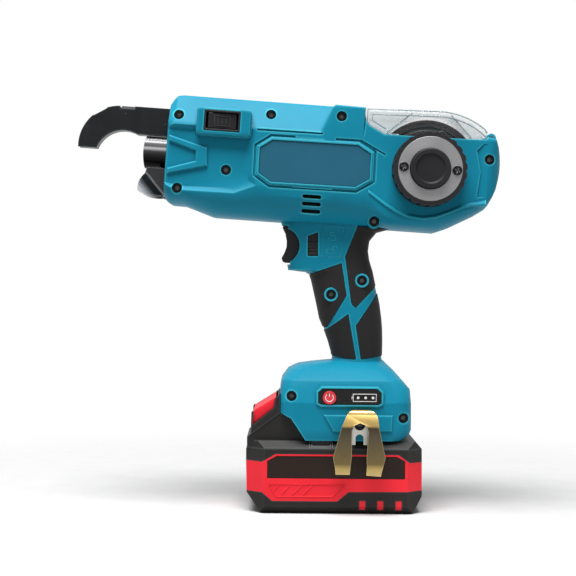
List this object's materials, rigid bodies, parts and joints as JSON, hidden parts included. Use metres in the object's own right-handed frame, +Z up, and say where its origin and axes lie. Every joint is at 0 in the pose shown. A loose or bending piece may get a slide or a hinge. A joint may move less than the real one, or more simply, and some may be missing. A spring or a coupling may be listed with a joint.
{
  "type": "rebar tying tool",
  "caption": "Battery rebar tying tool with a wire hook nose, clear-covered wire reel, pull-out reel knob, pistol grip, belt hook and slide-on battery.",
  "frame": {"origin": "middle of the flat bottom of the battery, which the tool stands on", "axes": "-X toward the nose hook, -Y toward the side with the reel knob, +Z up"},
  "size_m": [0.2778, 0.0893, 0.2709],
  "materials": {
    "teal_shell": "satin moulded glass-filled nylon",
    "grip_rubber": "soft overmoulded pads",
    "black_screw": "black oxide screws",
    "side_label": "bare inlaid plate",
    "gear_steel": "machined and hardened",
    "black_steel": "black oxide plate",
    "polished_steel": "polished tube",
    "sheet_steel": "plain sheet and rod",
    "motor_can": "zinc-plated motor can",
    "bearing_bronze": "sintered bush",
    "black_plastic": "fine-grained moulding",
    "tie_wire": "annealed wire",
    "clear_cover": "clear polycarbonate",
    "knob_steel": "satin face with a bright edge",
    "spring_steel": "spring wire",
    "panel_face": "bare overlay",
    "red_button": "moulded button",
    "panel_light": "unlit light windows",
    "circuit_board": "coated board",
    "terminal_plastic": "contact block",
    "yellow_zinc": "yellow zinc sheet",
    "battery_black": "grained moulding",
    "battery_red": "satin moulding",
    "battery_label": "bare label",
    "cell_wrap": "wrapped steel cells"
  },
  "bodies": {
    "tool": {"housing_left": "teal_shell", "housing_right": "teal_shell", "grip_left": "grip_rubber", "grip_right": "grip_rubber", "housing_screws": "black_screw", "side_labels": "side_label", "nose_frame": "gear_steel", "hook_plates": "black_steel", "hook_channel": "gear_steel", "barrel": "polished_steel", "guide_wings": "sheet_steel", "lower_guide": "gear_steel", "cutter_anvil": "gear_steel", "twist_motor": "motor_can", "ring_gear": "gear_steel", "spindle_bearing": "bearing_bronze", "feed_motor": "motor_can", "feed_bracket": "sheet_steel", "wire_guides": "sheet_steel", "cover_hinge_pin": "sheet_steel", "knob_spring": "spring_steel", "reel_seat": "black_plastic", "rocker_frame": "black_plastic", "trigger_switch": "black_plastic", "trigger_spring": "spring_steel", "control_panel": "panel_face", "panel_leds": "panel_light", "controller_board": "circuit_board", "terminal_block": "terminal_plastic", "belt_hook": "yellow_zinc", "belt_hook_screw": "black_screw"},
    "trigger": {"trigger": "black_plastic"},
    "lock_slider": {"lock_slider": "black_plastic"},
    "rocker": {"rocker": "black_plastic"},
    "power_button": {"power_button": "red_button"},
    "reel_cover": {"reel_cover": "clear_cover"},
    "reel_spindle": {"reel_spindle": "black_plastic"},
    "reel_knob": {"knob_ring": "black_plastic", "knob_plate": "knob_steel", "knob_screws": "black_screw"},
    "reel": {"reel": "black_plastic", "wire_coil": "tie_wire"},
    "drive_roller": {"feed_roller_drive": "gear_steel"},
    "driven_roller": {"feed_roller_driven": "gear_steel"},
    "feed_pinion": {"feed_pinion": "gear_steel"},
    "twist_carrier": {"planet_carrier": "gear_steel"},
    "twist_sun": {"sun_pinion": "gear_steel"},
    "planet_1": {"planet_1": "gear_steel"},
    "planet_2": {"planet_2": "gear_steel"},
    "planet_3": {"planet_3": "gear_steel"},
    "jaw_upper": {"jaw_upper": "gear_steel"},
    "jaw_lower": {"jaw_lower": "gear_steel"},
    "cutter_blade": {"cutter_blade": "sheet_steel"},
    "battery": {"battery_lower_case": "battery_black", "battery_upper_case": "battery_black", "battery_bumper": "battery_red", "battery_labels": "battery_label", "battery_cells": "cell_wrap"},
    "battery_latch": {"battery_latch": "battery_red"}
  },
  "joints": [
    {"name": "trigger_press", "type": "slide", "parent": "tool", "child": "trigger", "axis": [1, 0, 0], "range_m": [0, 0.005], "stiffness_N_per_m": 1200, "deforming": ["trigger_spring"]},
    {"name": "lock_slide", "type": "slide", "parent": "tool", "child": "lock_slider", "axis": [0, 0, 1], "range_m": [0, 0.0045]},
    {"name": "rocker_tilt", "type": "hinge", "parent": "tool", "child": "rocker", "pos_m": [-0.07215, -0.0327, 0.25212], "axis": [0.0628, 0, 0.998], "range_deg": [-12, 0]},
    {"name": "power_press", "type": "slide", "parent": "tool", "child": "power_button", "axis": [0, 1, 0], "range_m": [0, 0.0008], "stiffness_N_per_m": 2500},
    {"name": "cover_open", "type": "hinge", "parent": "tool", "child": "reel_cover", "pos_m": [0.10319, 0, 0.24399], "axis": [0, 1, 0], "range_deg": [0, 100]},
    {"name": "knob_pull", "type": "slide", "parent": "tool", "child": "reel_spindle", "axis": [0, -1, 0], "range_m": [0, 0.008], "stiffness_N_per_m": 1500, "deforming": ["knob_spring"]},
    {"name": "knob_turn", "type": "hinge", "parent": "reel_spindle", "child": "reel_knob", "pos_m": [0.061, -0.04, 0.2216], "axis": [0, 1, 0], "range_deg": [0, 90]},
    {"name": "reel_spin", "type": "hinge", "parent": "tool", "child": "reel", "pos_m": [0.061, 0, 0.2216], "axis": [0, 1, 0], "continuous": true},
    {"name": "feed_drive_spin", "type": "hinge", "parent": "tool", "child": "drive_roller", "pos_m": [-0.01359, 0.008, 0.24633], "axis": [0.0628, 0, 0.998], "continuous": true},
    {"name": "feed_driven_spin", "type": "hinge", "parent": "tool", "child": "driven_roller", "pos_m": [-0.01359, -0.008, 0.24633], "axis": [0.0628, 0, 0.998], "continuous": true},
    {"name": "feed_pinion_spin", "type": "hinge", "parent": "tool", "child": "feed_pinion", "pos_m": [-0.00043, 0.00367, 0.2435], "axis": [0.0628, 0, 0.998], "continuous": true},
    {"name": "twist_spin", "type": "hinge", "parent": "tool", "child": "twist_carrier", "pos_m": [-0.07864, 0, 0.23179], "axis": [0.998, 0, -0.0628], "continuous": true},
    {"name": "sun_spin", "type": "hinge", "parent": "tool", "child": "twist_sun", "pos_m": [-0.06866, 0, 0.23116], "axis": [0.998, 0, -0.0628], "continuous": true},
    {"name": "planet_1_spin", "type": "hinge", "parent": "twist_carrier", "child": "planet_1", "pos_m": [-0.07131, 0, 0.22081], "axis": [0.998, 0, -0.0628], "continuous": true},
    {"name": "planet_2_spin", "type": "hinge", "parent": "twist_carrier", "child": "planet_2", "pos_m": [-0.07032, 0.00909, 0.23653], "axis": [0.998, 0, -0.0628], "continuous": true},
    {"name": "planet_3_spin", "type": "hinge", "parent": "twist_carrier", "child": "planet_3", "pos_m": [-0.07032, -0.00909, 0.23653], "axis": [0.998, 0, -0.0628], "continuous": true},
    {"name": "jaw_upper_close", "type": "hinge", "parent": "twist_carrier", "child": "jaw_upper", "pos_m": [-0.11431, 0, 0.23804], "axis": [0, 1, 0], "range_deg": [-8, 0]},
    {"name": "jaw_lower_close", "type": "hinge", "parent": "twist_carrier", "child": "jaw_lower", "pos_m": [-0.11482, 0, 0.23006], "axis": [0, 1, 0], "range_deg": [0, 8]},
    {"name": "cutter_swing", "type": "hinge", "parent": "tool", "child": "cutter_blade", "pos_m": [-0.08165, 0.009, 0.25554], "axis": [0.998, 0, -0.0628], "range_deg": [-18, 0]},
    {"name": "battery_slide", "type": "slide", "parent": "tool", "child": "battery", "axis": [-1, 0, 0], "range_m": [0, 0.075]},
    {"name": "latch_press", "type": "slide", "parent": "battery", "child": "battery_latch", "axis": [0.5077, 0, -0.8615], "range_m": [0, 0.002], "stiffness_N_per_m": 3000}
  ],
  "couplings": [
    {"joint": "feed_drive_spin", "follows": "reel_spin", "ratio": 3.5625},
    {"joint": "feed_driven_spin", "follows": "reel_spin", "ratio": -3.5625},
    {"joint": "feed_pinion_spin", "follows": "reel_spin", "ratio": -4.75},
    {"joint": "sun_spin", "follows": "twist_spin", "ratio": 4},
    {"joint": "planet_1_spin", "follows": "twist_spin", "ratio": -3},
    {"joint": "planet_2_spin", "follows": "twist_spin", "ratio": -3},
    {"joint": "planet_3_spin", "follows": "twist_spin", "ratio": -3},
    {"joint": "jaw_lower_close", "follows": "jaw_upper_close", "ratio": -1}
  ]
}
